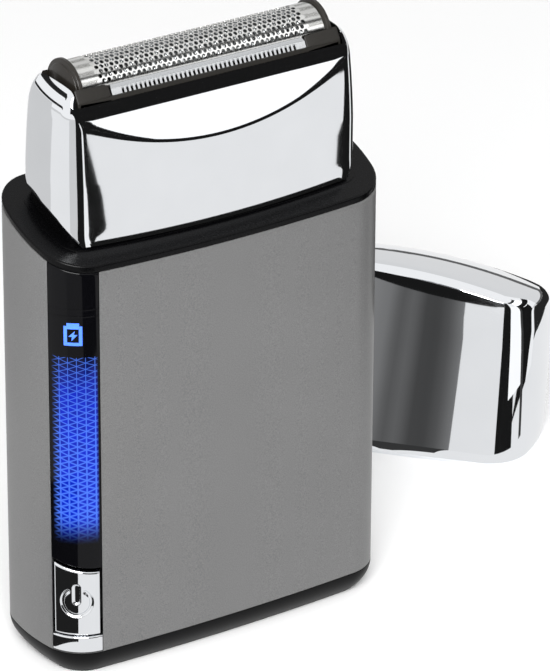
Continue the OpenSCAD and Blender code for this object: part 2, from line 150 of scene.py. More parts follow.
def plan(p, inset, steps=(5, 16, 14)):
    """Outline of a plan moved inward, as points in mm, anticlockwise from +X."""
    side = Vector((p[0] - arc_radius(p[1], p[3]), 0))
    front = Vector((0, p[1] - arc_radius(p[0], p[2])))
    c = corner_centre(p)
    a0 = math.atan2(c.y - side.y, c.x - side.x)
    a1 = math.atan2(c.y - front.y, c.x - front.x)
    runs = ((side, arc_radius(p[1], p[3]), 0, a0, steps[0]),
            (c, p[4], a0, a1, steps[1]),
            (front, arc_radius(p[0], p[2]), a1, math.pi / 2, steps[2]))
    quarter = [Vector((p[0] - inset, 0))]
    for centre, radius, start, end, count in runs:
        for i in range(1, count + 1):
            a = start + (end - start) * i / count
            quarter.append(centre + (radius - inset) * Vector((math.cos(a), math.sin(a))))
    half = quarter + [Vector((-q.x, q.y)) for q in quarter[-2::-1]]
    return half + [-q for q in half[1:-1]]


def ring(bm, points):
    """A closed chain of new vertices."""
    verts = [bm.verts.new(p) for p in points]
    for i, v in enumerate(verts):
        bm.edges.new((v, verts[(i + 1) % len(verts)]))
    return verts


def chain_edges(bm, verts):
    pairs = [(v, verts[(i + 1) % len(verts)]) for i, v in enumerate(verts)]
    return [e for e in (bm.edges.get(pair) for pair in pairs) if e]


def verts_in(result):
    """The vertices among what a mesh operation made."""
    return [g for g in result["geom"] if isinstance(g, bmesh.types.BMVert)]


def rise(bm, verts, points):
    """Extrudes a closed chain and moves the new chain to the points given."""
    fresh = set(verts_in(bmesh.ops.extrude_edge_only(bm, edges=chain_edges(bm, verts))))
    moved = [next(e.other_vert(v) for e in v.link_edges if e.other_vert(v) in fresh) for v in verts]
    for v, p in zip(moved, points):
        v.co = p
    return moved


def skin(bm, rings, closed=False, caps=(False, False)):
    """Surface over a row of rings, joined into a loop or capped at its ends."""
    first = verts = ring(bm, rings[0])
    for points in rings[1:]:
        verts = rise(bm, verts, points)
    if closed:
        bmesh.ops.bridge_loops(bm, edges=chain_edges(bm, verts) + chain_edges(bm, first))
    for wanted, loop in zip(caps, (first, verts)):
        if wanted:
            bmesh.ops.contextual_create(bm, geom=chain_edges(bm, loop))
    return first, verts


def fillet(profile, steps=4, hold=0.25):
    """Profile of (inset, z, radius) with its corners rounded and a holding point beside each arc."""
    out = []
    for i, (x, z, r) in enumerate(profile):
        p = Vector((x, z))
        if not r:
            out.append(p)
            continue
        a = Vector(profile[i - 1][:2]) - p
        b = Vector(profile[(i + 1) % len(profile)][:2]) - p
        half = a.angle(b) / 2
        reach = r / math.tan(half)
        centre = p + (a.normalized() + b.normalized()).normalized() * r / math.sin(half)
        start = p + a.normalized() * reach - centre
        end = p + b.normalized() * reach - centre
        if a.length > 2 * (reach + hold):
            out.append(p + a.normalized() * (reach + hold))
        for k in range(steps + 1):
            out.append(centre + start.lerp(end, k / steps).normalized() * r)
        if b.length > 2 * (reach + hold):
            out.append(p + b.normalized() * (reach + hold))
    return out


def swept(p, profile, tilted):
    """Rings of a profile carried round a plan. Points above z = tilted slope with the deck."""
    return [[Vector((q.x, q.y, s.y + (SLOPE * q.y if s.y > tilted else 0))) for q in plan(p, s.x)]
            for s in profile]


WINDOW_CENTRE = -corner_centre(BODY)
WINDOW_Y = WINDOW_CENTRE.y - BODY[4] * math.sin(WINDOW_DIR)
INWARD = Vector((math.cos(WINDOW_DIR), math.sin(WINDOW_DIR)))
ACROSS = Vector((-math.sin(WINDOW_DIR), math.cos(WINDOW_DIR)))


def from_corner(p):
    """Where a point lies in plan, seen from the centre of the front left corner's arc."""
    return Vector((p.x, p.y)) - WINDOW_CENTRE


def on_corner(u, inset, z, tilted=1e3):
    """Point on the rounded front left corner: u across, inset inward, height z."""
    radius = BODY[4] - inset
    q = WINDOW_CENTRE + ACROSS * u - INWARD * math.sqrt(radius * radius - u * u)
    return Vector((q.x, q.y, z + (SLOPE * q.y if z > tilted else 0)))


def corner_solid(bm, half, profile, columns, tilted=1e3):
    """Block that follows the front left corner, made of copies of one section."""
    rings = [[on_corner(-half + 2 * half * i / columns, s[0], s[1], tilted) for s in profile]
             for i in range(columns + 1)]
    skin(bm, rings, caps=(True, True))


def cut(bm, point, normal, faces):
    """Cuts the faces given along a plane."""
    geom = list({g for f in faces for g in (*f.verts, *f.edges, f)})
    bmesh.ops.bisect_plane(bm, geom=geom, dist=1e-5, plane_co=point, plane_no=normal)


def drop(bm, test):
    """Removes the faces whose middle passes the test."""
    gone = [f for f in bm.faces if test(f.calc_center_median())]
    bmesh.ops.delete(bm, geom=gone, context="FACES")


def soften(bm, edges, width, segments=3):
    bmesh.ops.bevel(bm, geom=edges, offset=width, offset_type="OFFSET", segments=segments,
                    profile=0.5, affect="EDGES", material=-1, clamp_overlap=True)


def edges_at(verts):
    return list({e for v in verts for e in v.link_edges})


def repeat(bm, count, shift):
    """Copies all faces until there are count sets, the k-th one moved by shift(k)."""
    first = bm.faces[:]
    for k in range(1, count):
        copy = bmesh.ops.duplicate(bm, geom=first)
        bmesh.ops.translate(bm, vec=shift(k), verts=verts_in(copy))


def box(bm, low, high):
    """A box between two corners."""
    low, high = Vector(low), Vector(high)
    made = bmesh.ops.create_cube(bm, size=1)["verts"]
    for v in made:
        v.co = (low + high) / 2 + Vector(a * b for a, b in zip(v.co, high - low))
    return made


def sheet(bm, xs, ys, height):
    """Grid through the given X and Y stations, with Z from height(x, y)."""
    made = bmesh.ops.create_grid(bm, x_segments=len(xs) - 1, y_segments=len(ys) - 1, size=1)["verts"]
    for v in made:
        x = xs[round((v.co.x + 1) / 2 * (len(xs) - 1))]
        y = ys[round((v.co.y + 1) / 2 * (len(ys) - 1))]
        v.co = (x, y, height(x, y))
    return made


def spun(bm, profile, centre, count=64):
    """Round body about an X axis through centre, from (x, radius) points that start and end on it."""
    verts = [bm.verts.new(Vector(centre) + Vector((x, 0, r))) for x, r in profile]
    edges = [bm.edges.new(pair) for pair in zip(verts, verts[1:])]
    bmesh.ops.spin(bm, geom=verts + edges, cent=centre, axis=(1, 0, 0), angle=2 * math.pi,
                   steps=count, use_merge=True)


def piece(name, bm, material, body, nodes, sharp=32, normals=True):
    """Makes an object of a mesh in mm, hangs it on the body it rides on, and hides the CAD nodes it
    stands for.
    """
    bmesh.ops.remove_doubles(bm, verts=bm.verts[:], dist=2e-4)
    bmesh.ops.dissolve_degenerate(bm, edges=bm.edges[:], dist=1e-4)
    if normals:
        bmesh.ops.recalc_face_normals(bm, faces=bm.faces[:])
    bmesh.ops.scale(bm, vec=(MM, MM, MM), verts=bm.verts[:])
    made = placed(name, bm, bpy.data.materials[material])
    made.data.shade_smooth()
    made.data.set_sharp_from_angle(angle=math.radians(sharp))
    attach(made, body)
    if nodes:
        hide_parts(*nodes)
    return made


# ---------------------------------------------------------------- finishes

# Name: colour, metallic, roughness, grain in mm, tone change, relief in mm, coat, stretch of the grain
FINISHES = {
    # Sprayed silver-grey lacquer with fine metal flake: a soft sheen with a sparkle of grain
    "metallic_lacquer": ("#6f6f6f", 0.4, 0.42, 0.16, 0.3, 0.008, 0.1, (1, 1, 1)),
    # Electroplated chrome on ABS: a near perfect mirror, slightly wavy from the moulding under it
    "plated_chrome": ("#eceef1", 1.0, 0.035, 9.0, 0.02, 0.0015, 0.0, (1, 1, 1)),
    # Moulded ABS with a satin spark-eroded texture
    "satin_abs": ("#070708", 0.0, 0.42, 0.12, 0.25, 0.006, 0.0, (1, 1, 1)),
    # Polished moulded ABS: the collar, darker and glossier than the base
    "gloss_abs": ("#040405", 0.0, 0.26, 0.5, 0.2, 0.001, 0.0, (1, 1, 1)),
    # Glass-filled nylon: warm grey-brown with a dull sheen
    "filled_nylon": ("#1f1d1a", 0.0, 0.42, 0.2, 0.22, 0.008, 0.0, (1, 1, 1)),
    # Phenolic brown moulding of the foil's end caps
    "brown_moulding": ("#211e1a", 0.0, 0.34, 0.25, 0.2, 0.005, 0.1, (1, 1, 1)),
    # Dark TPE gasket: matt
    "soft_seal": ("#0a0a0b", 0.0, 0.7, 0.2, 0.2, 0.01, 0.0, (1, 1, 1)),
    # Electroformed nickel: bright with a faint drawn grain along the foil
    "nickel_foil": ("#dcdcda", 1.0, 0.14, 0.12, 0.04, 0.0004, 0.0, (0.08, 1, 1)),
    # Ground stainless steel of the comb and the blades
    "ground_steel": ("#c4c6c8", 1.0, 0.24, 0.08, 0.05, 0.001, 0.0, (1, 0.08, 1)),
    # Zinc plated steel of screws, springs and the motor can
    "zinc_steel": ("#a9adb1", 1.0, 0.32, 0.4, 0.12, 0.003, 0.0, (1, 1, 1)),
    # White acetal of the cutter carrier: waxy
    "white_acetal": ("#e6e6e1", 0.0, 0.38, 0.3, 0.05, 0.003, 0.0, (1, 1, 1)),
    # Solder-masked circuit board: green with a fine weave under it
    "solder_mask": ("#1c5a34", 0.0, 0.3, 0.5, 0.25, 0.004, 0.3, (1, 1, 1)),
    # Black solder-masked circuit board: its black is partly painted shade, so that the gap round the
    # button reads dark and nothing shows through it
    "black_mask": ("#08090a", 0.0, 0.4, 0.5, 0.2, 0.004, 0.0, (1, 1, 1)),
    # Shrink-wrapped PVC sleeve of the cell
    "pvc_sleeve": ("#2f6fb1", 0.0, 0.3, 2.0, 0.1, 0.01, 0.2, (1, 1, 0.3)),
    # Natural grey ABS of the inner chassis
    "grey_abs": ("#4b4e52", 0.0, 0.45, 0.2, 0.12, 0.006, 0.0, (1, 1, 1)),
}

# Dark mouldings whose surface scatters most of the light that a smooth plastic would mirror
DULL = {"satin_abs": 0.12, "gloss_abs": 0.14, "filled_nylon": 0.25, "brown_moulding": 0.3,
        "soft_seal": 0.1}

# CAD nodes that keep their shape, and the finish each one takes
KEPT_NODES = {
    "collar_seal": "soft_seal", "drive_seal": "soft_seal", "base_screws": "zinc_steel",
    # The display board's black mask is painted shade for the gap round the button
    "display_board": "black_mask", "tact_switch": "grey_abs", "inner_chassis": "grey_abs",
    "battery_cell": "pvc_sleeve", "battery_tabs": "zinc_steel", "main_board": "solder_mask",
    "charge_board": "solder_mask", "charging_socket": "zinc_steel", "motor_can": "zinc_steel",
    "motor_screws": "zinc_steel", "motor_shaft": "ground_steel", "eccentric_cam": "white_acetal",
    "guide_rods": "ground_steel", "drive_bridge": "white_acetal", "cutter_spring": "zinc_steel",
    "cutter_carrier": "white_acetal", "main_cutter": "ground_steel", "head_frame": "satin_abs",
    "foil_springs": "zinc_steel", "light_guide": "blue_diffuser",
}


def make_finish(name, spec):
    """Procedural finish: fine grain and a slow drift, felt in tone, roughness and relief."""
    colour, metallic, rough, grain, tone, relief, coat, stretch = spec
    tree = blank(name)[1]
    place = node(tree, "ShaderNodeTexCoord")
    scale = [s / (grain * MM) for s in stretch]
    moved = node(tree, "ShaderNodeMapping", {"Scale": scale}, {"Vector": place.outputs["Object"]})
    fine = node(tree, "ShaderNodeTexNoise", {"Scale": 1.0, "Detail": 2.0}, {"Vector": moved.outputs[0]})
    slow = node(tree, "ShaderNodeTexNoise", {"Scale": 60.0, "Detail": 3.0},
                {"Vector": place.outputs["Object"]})
    both = node(tree, "ShaderNodeMath", {"operation": "MULTIPLY_ADD", 1: 0.15},
                {0: slow.outputs["Fac"], 2: fine.outputs["Fac"]})
    grain_range = (0.3, 0.85)
    shade = ramp(tree, both.outputs[0], *grain_range, 1 - tone, 1 + tone)
    gloss = ramp(tree, both.outputs[0], *grain_range, rough * 0.85, rough * 1.2)
    bump = node(tree, "ShaderNodeBump", {"Strength": 1.0, "Distance": relief * MM},
                {"Height": fine.outputs["Fac"]})
    shader = node(tree, "ShaderNodeBsdfPrincipled",
                  {"Metallic": metallic, "Coat Weight": coat, "Coat Roughness": 0.12,
                   "Specular IOR Level": DULL.get(name, 0.5)},
                  {"Base Color": scaled(tree, linear(colour)[:3], shade), "Roughness": gloss,
                   "Normal": bump.outputs[0]})
    surface(tree, shader)


def make_display(name, colours):
    """Smoked acrylic lens: dark and glossy, with a lit lattice of triangles printed behind it."""
    tree = blank(name)[1]
    uv = node(tree, "ShaderNodeUVMap", {"uv_map": "window"})
    split = node(tree, "ShaderNodeSeparateXYZ", {}, {0: uv.outputs[0]})
    offset, up = split.outputs[0], split.outputs[1]

    def maths(operation, first, second=0.0, third=0.0):
        values = {"operation": operation}
        links = {}
        for key, value in enumerate((first, second, third)):
            if isinstance(value, (int, float)):
                values[key] = value
            else:
                links[key] = value
        return node(tree, "ShaderNodeMath", values, links).outputs[0]

    # Distance in mm to the nearest line of each of three families of lines
    pitch, rise_by = 1.45, 0.56
    across = maths("ADD", offset, 0.94)
    sum_up = maths("MULTIPLY_ADD", across, rise_by / pitch, up)
    sum_down = maths("MULTIPLY_ADD", across, -rise_by / pitch, up)
    gaps = [maths("PINGPONG", across, pitch / 2)]
    gaps += [maths("PINGPONG", s, rise_by) for s in (sum_up, sum_down)]
    gap = maths("MINIMUM", maths("MINIMUM", gaps[0], gaps[1]), gaps[2])
    width = ramp(tree, up, 27, 59, 0.26, 0.09)
    line = maths("SUBTRACT", 1.0, maths("SMOOTH_MIN", maths("DIVIDE", gap, width), 1.0, 0.2))
    line = node(tree, "ShaderNodeClamp", {}, {"Value": line}).outputs[0]
    # Each triangle has its own brightness, and goes dark at the top and at the window's left edge
    cell = [maths("FLOOR", maths("DIVIDE", s, 2 * rise_by)) for s in (sum_up, sum_down)]
    key = node(tree, "ShaderNodeCombineXYZ", {}, {0: cell[0], 1: cell[1],
               2: maths("FLOOR", maths("DIVIDE", across, pitch))})
    chance = node(tree, "ShaderNodeTexWhiteNoise", {}, {"Vector": key.outputs[0]}).outputs["Value"]
    fill = maths("MULTIPLY_ADD", chance, 0.3, 0.7)
    height = ramp(tree, up, 60.0, 52.0, kind="SMOOTHSTEP")
    shadow = ramp(tree, offset, -3.0, -2.0, 0.1, kind="SMOOTHSTEP")
    fill = maths("MULTIPLY", fill, maths("MULTIPLY", height, shadow))
    # The whole lattice fades at its foot and its sides, and stops under the battery mark
    lit = ramp(tree, up, 25.0, 31.0, kind="SMOOTHSTEP")
    fade = ramp(tree, up, 60.0, 42.0, 0.8, kind="SMOOTHSTEP")
    sides = [ramp(tree, offset, -3.7, -2.9), ramp(tree, offset, 3.9, 3.5)]
    strength = maths("MULTIPLY", maths("MULTIPLY", lit, fade), maths("MULTIPLY", *sides))
    strength = maths("MULTIPLY", strength, maths("LESS_THAN", up, 59.2))
    deep = node(tree, "ShaderNodeMix", {"data_type": "RGBA", 6: linear("#00040f"),
                                        7: (*colours[0], 1)}, {0: fill})
    glow = node(tree, "ShaderNodeMix", {"data_type": "RGBA", 7: (*colours[1], 1)},
                {0: line, 6: deep.outputs[2]})
    shader = node(tree, "ShaderNodeBsdfPrincipled",
                  {"Base Color": linear("#060608"), "Roughness": 0.06, "Specular IOR Level": 0.16,
                   "Emission Strength": 1.15},
                  {"Emission Color": scaled(tree, glow.outputs[2], strength)})
    surface(tree, shader)


def make_glow(name, colour, strength):
    """Lit light-blue diffuser, a little uneven from the lamps behind it."""
    tree = blank(name)[1]
    place = node(tree, "ShaderNodeTexCoord")
    cloud = node(tree, "ShaderNodeTexNoise", {"Scale": 400.0}, {"Vector": place.outputs["Object"]})
    tint = scaled(tree, linear(colour)[:3], ramp(tree, cloud.outputs["Fac"], 0, 1, 0.75, 1.15))
    surface(tree, node(tree, "ShaderNodeBsdfPrincipled",
                       {"Roughness": 0.3, "Emission Strength": strength},
                       {"Base Color": tint, "Emission Color": tint}))


# ---------------------------------------------------------------- settings

class ShaverSettings(bpy.types.PropertyGroup):
    """Sizes and colours that a user may change before building the shaver."""
    hole_width: bpy.props.FloatProperty(
        name="Foil hole", description="Width of a hole in the foil", default=0.00074,
        min=0.0004, max=0.0008, unit="LENGTH", precision=5)
    hole_pitch: bpy.props.FloatProperty(
        name="Hole pitch", description="Spacing of the holes along a row", default=0.00094,
        min=0.0009, max=0.0012, unit="LENGTH", precision=5)
    tooth_pitch: bpy.props.FloatProperty(
        name="Tooth pitch", description="Spacing of the comb's teeth", default=0.00084,
        min=0.0008, max=0.0012, unit="LENGTH", precision=5)
    symbol_depth: bpy.props.FloatProperty(
        name="Symbol depth", description="Depth of the power symbol in the button",
        default=0.0003, min=0.0001, max=0.0004, unit="LENGTH", precision=5)
    crease_width: bpy.props.FloatProperty(
        name="Crease", description="Half width of the rounded crease round the head's facet",
        default=0.00015, min=0.00005, max=0.0003, unit="LENGTH", precision=5)
    panel_colour: bpy.props.FloatVectorProperty(
        name="Panel blue", description="Blue between the lines of the lit lattice",
        subtype="COLOR", size=3, min=0, max=1, default=linear("#0026c8")[:3])
    line_colour: bpy.props.FloatVectorProperty(
        name="Line blue", description="Blue of the lines of the lit lattice",
        subtype="COLOR", size=3, min=0, max=1, default=linear("#4f80ff")[:3])
    floor_tone: bpy.props.FloatProperty(
        name="Floor tone", description="How pale the floor is", default=0.95, min=0.3, max=1,
        subtype="FACTOR")


def level(points, z):
    return [Vector((q.x, q.y, z)) for q in points]


def slanted(points, z):
    return [Vector((q.x, q.y, z + SLOPE * q.y)) for q in points]


class SHAVER_OT_finishes(bpy.types.Operator):
    """Makes the finishes and gives the inner parts theirs"""
    bl_idname = "shaver.finishes"
    bl_label = "Finishes"

    def execute(self, context):
        settings = context.scene.shaver
        for name, spec in FINISHES.items():
            make_finish(name, spec)
        make_display("lit_smoked_lens", [settings.panel_colour, settings.line_colour])
        make_glow("blue_diffuser", "#0a1238", 0.05)
        make_glow("blue_icon", "#3f6fe6", 1.0)
        for name, finish in KEPT_NODES.items():
            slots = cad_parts[name].data.materials
            for i in range(len(slots)):
                slots[i] = bpy.data.materials[finish]
        return {"FINISHED"}


class SHAVER_OT_base(bpy.types.Operator):
    """Builds the black base: rounded lower edge, screw wells and the slot of the charging socket"""
    bl_idname = "shaver.base"
    bl_label = "Base"

    def execute(self, context):
        bm = bmesh.new()
        edge, steps, roundness = 2.6, 18, 1.9
        rings = [level(plan(BODY, edge * (1 - i / steps) ** roundness), BASE_H * i / steps)
                 for i in range(steps + 1)]
        spigot = ((1.5, BASE_H), (1.5, 6.6), (2.6, 6.6), (2.6, 2.0))
        rings += [level(plan(BODY, i), z) for i, z in spigot]
        foot, floor = skin(bm, rings)
        screw_x, screw_y, screw_r = 24, 3, 2.1
        wells = []
        for side in (-1, 1):
            well = bmesh.ops.create_circle(bm, segments=32, radius=screw_r)["verts"]
            bmesh.ops.translate(bm, vec=(screw_x * side, screw_y, 0), verts=well)
            wells.append(well)
        socket_x, socket_y, socket_r = 3.1, 5, 1.9
        slot = [Vector((math.copysign(socket_x, math.cos(a)) + socket_r * math.cos(a),
                        socket_y + socket_r * math.sin(a), 0))
                for a in (math.radians(5 + 10 * k) for k in range(36))]
        mouth = ring(bm, slot)
        bottom = chain_edges(bm, foot) + chain_edges(bm, mouth)
        bottom += [e for well in wells for e in chain_edges(bm, well)]
        bmesh.ops.triangle_fill(bm, edges=bottom, use_beauty=True)
        for well in wells:
            top = rise(bm, well, [v.co + Vector((0, 0, 1.6)) for v in well])
            bmesh.ops.contextual_create(bm, geom=chain_edges(bm, top))
        top = rise(bm, mouth, [v.co + Vector((0, 0, 2.0)) for v in mouth])
        bmesh.ops.triangle_fill(bm, edges=chain_edges(bm, floor) + chain_edges(bm, top),
                                use_beauty=True)
        piece("base_tray", bm, "satin_abs", "handle", ["base_cover"])
        return {"FINISHED"}


class SHAVER_OT_shell(bpy.types.Operator):
    """Builds the lacquered shell, open at the corner where the window and button sit"""
    bl_idname = "shaver.shell"
    bl_label = "Shell"

    def execute(self, context):
        bm = bmesh.new()
        profile = fillet([(0, BASE_H, 0.2), (0, SHELL_TOP, 0.35), (WALL, SHELL_TOP, 0.15),
                          (WALL, BASE_H, 0)])
        skin(bm, swept(BODY, profile, 40), closed=True)

        def near():
            return [f for f in bm.faces if from_corner(f.calc_center_median()).dot(INWARD) < 1]

        for s in (-1, 1):
            point = WINDOW_CENTRE + ACROSS * SLOT_HALF * s
            cut(bm, (point.x, point.y, 0), (ACROSS.x, ACROSS.y, 0), near())
        cut(bm, (0, 0, STRIP_Z), UP, near())
        drop(bm, lambda p: from_corner(p).dot(INWARD) < 0 and p.z > STRIP_Z
             and abs(from_corner(p).dot(ACROSS)) < SLOT_HALF)
        open_edges = [e for e in bm.edges if len(e.link_faces) == 1]
        middle = BODY[4] - WALL / 2
        outer = [e for e in open_edges if all(from_corner(v.co).length > middle for v in e.verts)]
        inner = [e for e in open_edges if all(from_corner(v.co).length < middle for v in e.verts)]
        bmesh.ops.bridge_loops(bm, edges=outer + inner)
        piece("body_sleeve", bm, "metallic_lacquer", "handle", ["body_shell"])
        return {"FINISHED"}


class SHAVER_OT_collar(bpy.types.Operator):
    """Builds the black collar: its rim, sloping deck, foot, neck and the slot for the drive post"""
    bl_idname = "shaver.collar"
    bl_label = "Collar"

    def execute(self, context):
        bm = bmesh.new()
        pad_z = DECK_Z + 0.08
        rim = fillet([(0, RIM_Z, 0.12), (0, DECK_Z, 0.3), (3.6, DECK_Z, 0), (3.62, pad_z, 0),
                      (5.0, pad_z, 0)], hold=0.12)[:-1]
        rings = [slanted(plan(BODY, s.x), s.y) for s in rim[1:]]
        rings += [slanted(plan(HEAD, 1.25), pad_z), slanted(plan(HEAD, 1.15), DECK_Z + 0.5)]
        rings += [level(plan(HEAD, i), z) for i, z in
                  ((1.15, NECK_TOP - 0.3), (1.25, NECK_TOP), (2.25, NECK_TOP), (2.35, NECK_TOP - 0.2))]
        oval = [Vector((3.6 * math.cos(a), 2.4 * math.sin(a)))
                for a in (math.atan2(q.y * 2, q.x) for q in plan(BODY, 0))]
        rings += [slanted(plan(HEAD, 2.35), DECK_Z), slanted(oval, DECK_Z), slanted(oval, RIM_Z - 1)]
        spigot = ((2.8, -1), (2.8, -4), (1.5, -4), (1.5, 0))
        rings += [slanted(plan(BODY, i), RIM_Z + z) for i, z in spigot]
        skin(bm, rings, closed=True)
        piece("collar_deck", bm, "gloss_abs", "handle", ["top_collar"])
        return {"FINISHED"}


class SHAVER_OT_window(bpy.types.Operator):
    """Builds the smoked lens with its lit lattice, and the battery mark that shines through it"""
    bl_idname = "shaver.window"
    bl_label = "Window"

    def execute(self, context):
        bm = bmesh.new()
        lens = [(1.4, LENS_Z, 0), (0.05, LENS_Z, 0.15)]
        for z in (66.3, 67.5):
            lens += [(0.05, z, 0), (0.12, z + 0.08, 0), (0.12, z + 0.22, 0), (0.05, z + 0.3, 0)]
        lens += [(0.05, SHELL_TOP, 0.3), (1.4, SHELL_TOP, 0)]
        corner_solid(bm, LENS_HALF, fillet(lens), 28, tilted=70)
        for v in bm.verts:
            if v.co.z < LENS_Z + 1:
                v.co.z += SLOPE * (v.co.y - WINDOW_Y)
        long_edges = [e for e in bm.edges if abs(e.verts[0].co.z - e.verts[1].co.z) > 1
                      and e.calc_face_angle(0) > 0.6]
        soften(bm, long_edges, 0.18, 3)
        uv = bm.loops.layers.uv.new("window")
        for face in bm.faces:
            for loop in face.loops:
                loop[uv].uv = (-from_corner(loop.vert.co).dot(ACROSS), loop.vert.co.z)
        piece("lens", bm, "lit_smoked_lens", "handle", ["window_lens"])

        mark = bmesh.new()
        xs, ys = [-1.52, -1.02, -0.97, 0.97, 1.02, 1.52], [61.35, 61.9, 64.3, 64.8, 65.35]
        sheet(mark, xs, ys, lambda x, y: 0)
        drop(mark, lambda p: abs(p.x) < 0.97 and 61.9 < p.y < 64.3 or abs(p.x) > 1.02 and p.y > 64.8)
        for points in (((0.35, 64.0), (-0.75, 62.95), (-0.05, 62.95), (0.15, 63.35)),
                       ((-0.25, 62.2), (0.75, 63.3), (0.1, 63.3), (-0.15, 62.9))):
            verts = [mark.verts.new((x, y, 0)) for x, y in points]
            mark.faces.new(verts)
        bmesh.ops.triangulate(mark, faces=mark.faces[:])
        bmesh.ops.subdivide_edges(mark, edges=mark.edges[:], cuts=2, use_grid_fill=True)
        for v in mark.verts:
            v.co = on_corner(-v.co.x, 0.045, v.co.y)
        thickness = 0.02
        for v in verts_in(bmesh.ops.extrude_face_region(mark, geom=mark.faces[:])):
            v.co -= Vector((INWARD.x, INWARD.y, 0)) * thickness
        piece("battery_mark", mark, "blue_icon", "handle", [])
        return {"FINISHED"}


def bar_distance(u, z, start, end):
    """Distance from a point to an upright line between two heights."""
    return math.hypot(u, z - min(max(z, start), end))


class SHAVER_OT_button(bpy.types.Operator):
    """Builds the plated button with its sunk power symbol, and the trim strip under it"""
    bl_idname = "shaver.button"
    bl_label = "Button"

    def execute(self, context):
        sink = context.scene.shaver.symbol_depth / MM
        bm = bmesh.new()
        half, (low, top) = BUTTON_HALF, BUTTON_Z
        rows, columns, depth = 104, 68, 1.9
        face = [(0.0, low + (top - low) * i / rows) for i in range(rows + 1)]
        section = [Vector(s) for s in [(depth, low)] + face + [(depth, top)]]
        corner_solid(bm, half, section, columns)
        # Sizes of the symbol: its centre, the ring's radius and half width, the gap in the ring
        middle, ring_r, line, opening = 14.3, 2.45, 0.27, 35
        ends = [(ring_r * math.sin(math.radians(s * opening)),
                 middle + ring_r * math.cos(math.radians(opening))) for s in (-1, 1)]
        bar, bar_half, edge, blur = (middle + 0.25, middle + 2.7), 0.55, 0.5, 0.24
        for v in bm.verts:
            tall = top + SLOPE * (v.co.y - WINDOW_Y) - low
            v.co.z = low + (v.co.z - low) / (top - low) * tall
            out = from_corner(v.co)
            if out.length < BODY[4] - 0.01:
                continue
            u, z = out.dot(ACROSS), v.co.z
            border = max(min(half - abs(u), z - low, low + tall - z), 0)
            push = edge - math.sqrt(max(edge ** 2 - (edge - border) ** 2, 0)) if border < edge else 0
            ring_gap = abs(math.hypot(u, z - middle) - ring_r) - line
            if abs(math.degrees(math.atan2(u, z - middle))) < opening:
                ring_gap = min(math.hypot(u - a, z - b) for a, b in ends) - line
            gap = min(ring_gap, bar_distance(u, z, *bar) - bar_half)
            push += sink * min(max(0.5 - gap / blur, 0), 1)
            out = out * (1 - push / out.length) + WINDOW_CENTRE
            v.co.x, v.co.y = out.x, out.y
        piece("button", bm, "plated_chrome", "button", ["power_button"], sharp=60)

        trim = bmesh.new()
        foot = STRIP_Z + 0.1
        section = [(WALL, foot, 0), (0, foot, 0.25), (0, STRIP_TOP, 0.35), (WALL, STRIP_TOP, 0)]
        corner_solid(trim, LENS_HALF, fillet(section), 28)
        piece("button_strip", trim, "plated_chrome", "handle", ["button_trim"])
        return {"FINISHED"}


def head_wall(z):
    """Inset of the head's wall at a height: a slow draft, then a rounded crest."""
    u = min(1, max(0, z - HEAD_TOP + 5.2) / 5.2)
    return 0.7 * (max(0, z - 82) / 16) ** 2 + 2.6 * (1 - math.sqrt(1 - u * u))


def pressed(p, point, normal, width):
    """Moves a point that stands outside a plane back to it, with a rounded crease."""
    d = (p - point).dot(normal)
    if d < -width:
        return p
    return p - normal * (d if d > width else (d + width) ** 2 / (4 * width))


